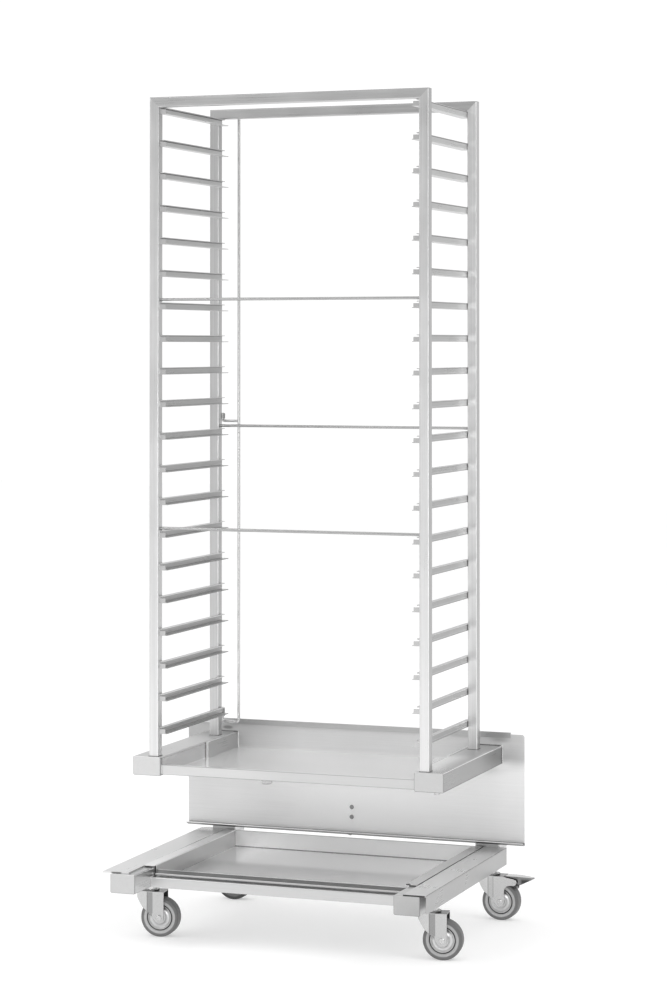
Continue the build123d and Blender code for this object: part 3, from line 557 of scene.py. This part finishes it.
A8 = math.radians(8.0)
WHEELS = {}
for name, (kx, ky, a) in {"front_left": (-294.5, 12, A8), "front_right": (294.5, 12, A8),
                          "rear_left": (-294.5, 398, 0.0), "rear_right": (294.5, 398, 0.0)}.items():
    centre = P(kx + 22 * math.cos(a), ky + 22 * math.sin(a), 38.5)
    axis = Vector((-math.sin(a), math.cos(a), 0))
    WHEELS[name] = (kx, ky, a)
    # the last argument is the gain of the painted shade on the pressed strip, darker on the front forks
    look[name + "_fork"] = fork_mat(name + "_fork_steel", kx, ky, a, 0.60 if a else 0.93)
    look[name + "_axle"] = look[name + "_kingpin"] = fastener
    look[name + "_hub"] = hub_mat(name + "_hub_metal", centre, axis)
    # painted shade: the rear left tyre near black, the front right a little darker
    look[name + "_tyre"] = tyre_mat(name + "_tyre_rubber", centre, axis, {"rear_left": 0.3, "front_right": 0.86}.get(name, 0.98))
    if name.startswith("rear"):
        look[name + "_brake_pedal"] = pedal_mat(name + "_pedal_steel", kx, ky)
        look[name + "_pedal_pin"] = fastener

for n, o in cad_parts.items():
    for s in o.material_slots:
        s.material = look[n]
    if not o.material_slots:
        o.data.materials.append(look[n])

# --------------------------------------------------- welds and brake springs
WELD = steel("weld_bead", 0.68, 0.20, (380, 380, 380), 1.4)
# the near black beads stand for shade at the post feet and tube-end joints (painted shade); the pale beads stand for
# glints (painted highlight)
WELD_SHADE = steel("weld_shade", 0.14, 0.38, (380, 380, 380), 0.8)
WELD_HIGHLIGHT = steel("weld_highlight", 0.93, 0.24, (380, 380, 380), 0.8, metal=0.5)


def piece(name, bm, mat, body):
    bmesh.ops.recalc_face_normals(bm, faces=bm.faces[:])
    me = bpy.data.meshes.new(name)
    bm.to_mesh(me)
    bm.free()
    for f in me.polygons:
        f.use_smooth = True
    me.materials.append(mat)
    o = bpy.data.objects.new(name, me)
    bpy.context.scene.collection.objects.link(o)
    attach(o, body)
    return o


def weld(name, runs, mat=WELD):
    """A run is ((x, y, z), (x, y, z), radius) in rack millimetres: a row of small overlapping beads."""
    bm = bmesh.new()
    for a, b, r in runs:
        a, b = Vector(a), Vector(b)
        n = max(2, int((b - a).length / (r * 1.15)))
        for i in range(n + 1):
            p = a.lerp(b, i / n) + Vector([random.uniform(-0.12, 0.12) * r for _ in range(3)])
            q = r * random.uniform(0.86, 1.1)
            bmesh.ops.create_icosphere(bm, subdivisions=2, radius=q / 1000.0, matrix=Matrix.Translation(P(*p)))
    return piece(name, bm, mat, "frame")


def rod(name, pts, r, mat, body, sides=10):
    # round wire through rack points, square ended
    bm = bmesh.new()
    pts = [P(*p) for p in pts]
    rings = []
    for i, p in enumerate(pts):
        d = (pts[min(i + 1, len(pts) - 1)] - pts[max(i - 1, 0)]).normalized()
        side = d.cross(Vector((0.21, 0.97, 0.13))).normalized()
        up = d.cross(side)
        rings.append([bm.verts.new(p + (side * math.cos(k * math.tau / sides) + up * math.sin(k * math.tau / sides)) * r / 1000.0)
                      for k in range(sides)])
    for a, b in zip(rings, rings[1:]):
        for k in range(sides):
            bm.faces.new((a[k], a[(k + 1) % sides], b[(k + 1) % sides], b[k]))
    bm.faces.new(rings[0])
    bm.faces.new(rings[-1])
    return piece(name, bm, mat, body)


feet = []
for sx in (-1, 1):
    for y0 in (0.0, 306.0):
        xa, xb, z = sx * 273.0, sx * 293.0, 356.6
        c = [(xa, y0, z), (xb, y0, z), (xb, y0 + 20.0, z), (xa, y0 + 20.0, z)]
        feet += [(c[i], c[(i + 1) % 4], 0.8) for i in range(4)]
weld("post_foot_welds", feet, WELD_SHADE)
weld("guide_stitch_welds", [((-284.0, -40.0, 147.4), (-284.4, 4.0, 147.4), 1.9), ((-285.9, 114.0, 147.4), (-286.5, 145.0, 147.4), 1.9),
                            ((-288.6, 280.0, 147.4), (-289.0, 318.0, 147.4), 1.9)], WELD)
ring = [(-47.0 + 11.6 * math.cos(math.radians(k)), 15.0 + 11.6 * math.sin(math.radians(k)), 321.4) for k in range(0, 361, 15)]
weld("spout_weld", [(p, q, 1.2) for p, q in zip(ring, ring[1:])], WELD)
weld("tube_end_welds", [((324.3, 376.2, 320.5), (324.3, 376.2, 355.0), 1.2), ((322.0, 376.0, 357.0), (324.2, 376.0, 356.2), 1.5),
                        ((-324.3, 376.2, 320.5), (-324.3, 376.2, 355.0), 1.0)])
weld("plate_end_welds", [((-256.9, 376.0, 324.8), (-256.9, 376.0, 355.2), 1.3)], WELD_HIGHLIGHT)
weld("tube_end_toes", [((268.0, 376.3, 356.8), (321.0, 376.3, 356.8), 1.0), ((323.9, 374.6, 321.0), (323.9, 374.6, 354.5), 0.8),
                       ((-259.0, 376.2, 324.8), (-259.0, 376.2, 355.2), 1.0), ((-263.2, 216.7, 324.6), (-263.2, 216.7, 354.8), 0.7),
                       ((-259.0, 376.3, 356.9), (-322.0, 376.3, 356.9), 0.8)], WELD_SHADE)
weld("tray_corner_welds", [((s * 264.4, -3.4, 325.0), (s * 264.4, -3.4, 340.5), 1.0) for s in (-1, 1)], WELD_HIGHLIGHT)
weld("crossbar_welds", [((s * 264.6, -52.8, 110.5), (s * 264.6, -52.8, 128.5), 0.9) for s in (-1, 1)]
     + [((s * 264.6, -52.0, 129.2), (s * 264.6, -34.5, 129.2), 1.2) for s in (-1, 1)], WELD)

SPRING = steel("spring_steel", 0.10, 0.28, (500, 500, 500), 0.5)
for name in ("rear_left", "rear_right"):
    kx, ky, a = WHEELS[name]
    loop = [(kx + 59.4 + 3.1 * math.cos(math.radians(k)), ky - 13.5 - 0.8 * k / 450.0, 71.2 + 3.1 * math.sin(math.radians(k)))
            for k in range(-60, 391, 18)]
    tail = [(kx + 56.0, ky - 13.3, 76.2), (kx + 58.4, ky - 13.4, 73.4)]
    rod(name + "_spring", tail + loop[2:], 0.85, SPRING, name + "_pedal")

# ---------------------------------------------------------------------- floor
bm = bmesh.new()
for v in ((-9, -12, 0), (9, -12, 0), (9, 16, 0), (-9, 16, 0)):
    bm.verts.new(v)
bm.faces.new(bm.verts[:] if bm.verts.ensure_lookup_table() is None else bm.verts[:])
me = bpy.data.meshes.new("studio_floor")
bm.to_mesh(me)
bm.free()
floor = bpy.data.objects.new("studio_floor", me)
bpy.context.scene.collection.objects.link(floor)
t = Tree("studio_floor_white")
cloud = t.noise(t.stretched((3, 3, 3)), 1.0, 2.0)
t.link(t.grey(t.remap(cloud, 0.3, 0.7, 0.65, 0.67)), t.bsdf.inputs["Base Color"])
t.bsdf.inputs["Roughness"].default_value = 0.8
t.bsdf.inputs["Specular IOR Level"].default_value = 0.1
t.bsdf.inputs["Emission Color"].default_value = (1, 1, 1, 1)
t.bsdf.inputs["Emission Strength"].default_value = 0.385
me.materials.append(t.mat)

# ---------------------------------------------------------------------- light
world = bpy.data.worlds.new("studio")
bpy.context.scene.world = world
world.use_nodes = True
w = world.node_tree
w.nodes.clear()
out = w.nodes.new("ShaderNodeOutputWorld")
bg = w.nodes.new("ShaderNodeBackground")
white = w.nodes.new("ShaderNodeBackground")
white.inputs["Color"].default_value = (1, 1, 1, 1)
white.inputs["Strength"].default_value = 1.05
mix = w.nodes.new("ShaderNodeMixShader")
path = w.nodes.new("ShaderNodeLightPath")
w.links.new(path.outputs["Is Camera Ray"], mix.inputs[0])
w.links.new(bg.outputs[0], mix.inputs[1])
w.links.new(white.outputs[0], mix.inputs[2])
w.links.new(mix.outputs[0], out.inputs[0])
tc = w.nodes.new("ShaderNodeTexCoord")


def lobe(direction, sharp, amount):
    # a soft lobe of brightness round one direction of the studio
    d = w.nodes.new("ShaderNodeVectorMath")
    d.operation = "DOT_PRODUCT"
    w.links.new(tc.outputs["Generated"], d.inputs[0])
    d.inputs[1].default_value = Vector(direction).normalized()
    m = w.nodes.new("ShaderNodeMath")
    m.operation = "MAXIMUM"
    w.links.new(d.outputs["Value"], m.inputs[0])
    m.inputs[1].default_value = 0.0
    p = w.nodes.new("ShaderNodeMath")
    p.operation = "POWER"
    w.links.new(m.outputs[0], p.inputs[0])
    p.inputs[1].default_value = sharp
    a = w.nodes.new("ShaderNodeMath")
    a.operation = "MULTIPLY"
    w.links.new(p.outputs[0], a.inputs[0])
    a.inputs[1].default_value = amount
    return a.outputs[0]


total = None
for direction, sharp, amount in (((0, 0, 1), 1.7, 0.85), ((-0.05, 1.0, 0.08), 2.0, 0.26)):
    v = lobe(direction, sharp, amount)
    if total is None:
        total = v
    else:
        s = w.nodes.new("ShaderNodeMath")
        s.operation = "ADD"
        w.links.new(total, s.inputs[0])
        w.links.new(v, s.inputs[1])
        total = s.outputs[0]
s = w.nodes.new("ShaderNodeMath")
s.operation = "ADD"
w.links.new(total, s.inputs[0])
s.inputs[1].default_value = 0.67
w.links.new(s.outputs[0], bg.inputs["Strength"])


def softbox(name, place, target, size, power):
    light = bpy.data.lights.new(name, "AREA")
    light.shape = "RECTANGLE"
    light.size, light.size_y = size
    light.energy = power
    o = bpy.data.objects.new(name, light)
    o.location = place
    o.rotation_euler = (Vector(target) - Vector(place)).to_track_quat("-Z", "Y").to_euler()
    bpy.context.scene.collection.objects.link(o)
    return o


softbox("softbox_left", (-3.2, -2.4, 3.4), (0, 0, 0.6), (2.4, 2.4), 60)
softbox("softbox_right", (3.4, -0.6, 3.0), (0, 0, 0.6), (2.0, 2.4), 35)

softbox("softbox_low", (1.6, -4.5, 0.9), (0, 0.2, 0.25), (2.0, 1.0), 22)

# --------------------------------------------------------------------- camera
F_PX, CY = 2681.669, 299.503
YAW, PITCH, ROLL = math.radians(20.4600), math.radians(1.0), math.radians(-0.017)
fwd = Vector((-math.sin(YAW) * math.cos(PITCH), math.cos(YAW) * math.cos(PITCH), math.sin(PITCH)))
right = Vector((math.cos(YAW), math.sin(YAW), 0.0))
up = right.cross(fwd)
r2 = right * math.cos(ROLL) + up * math.sin(ROLL)
u2 = -right * math.sin(ROLL) + up * math.cos(ROLL)
data = bpy.data.cameras.new("camera")
data.sensor_width = 36.0
data.sensor_fit = "AUTO"
data.lens = F_PX * 36.0 / 1000.0
data.shift_y = (CY - 500.0) / 1000.0
data.clip_start, data.clip_end = 0.1, 100.0
cam = bpy.data.objects.new("camera", data)
m = Matrix((r2, u2, -fwd)).transposed().to_4x4()
m.translation = P(1916.367, -4872.986, 1169.678)
cam.matrix_world = m
bpy.context.scene.collection.objects.link(cam)
bpy.context.scene.camera = cam

bpy.context.scene.view_settings.view_transform = "Standard"
bpy.context.scene.view_settings.look = "None"
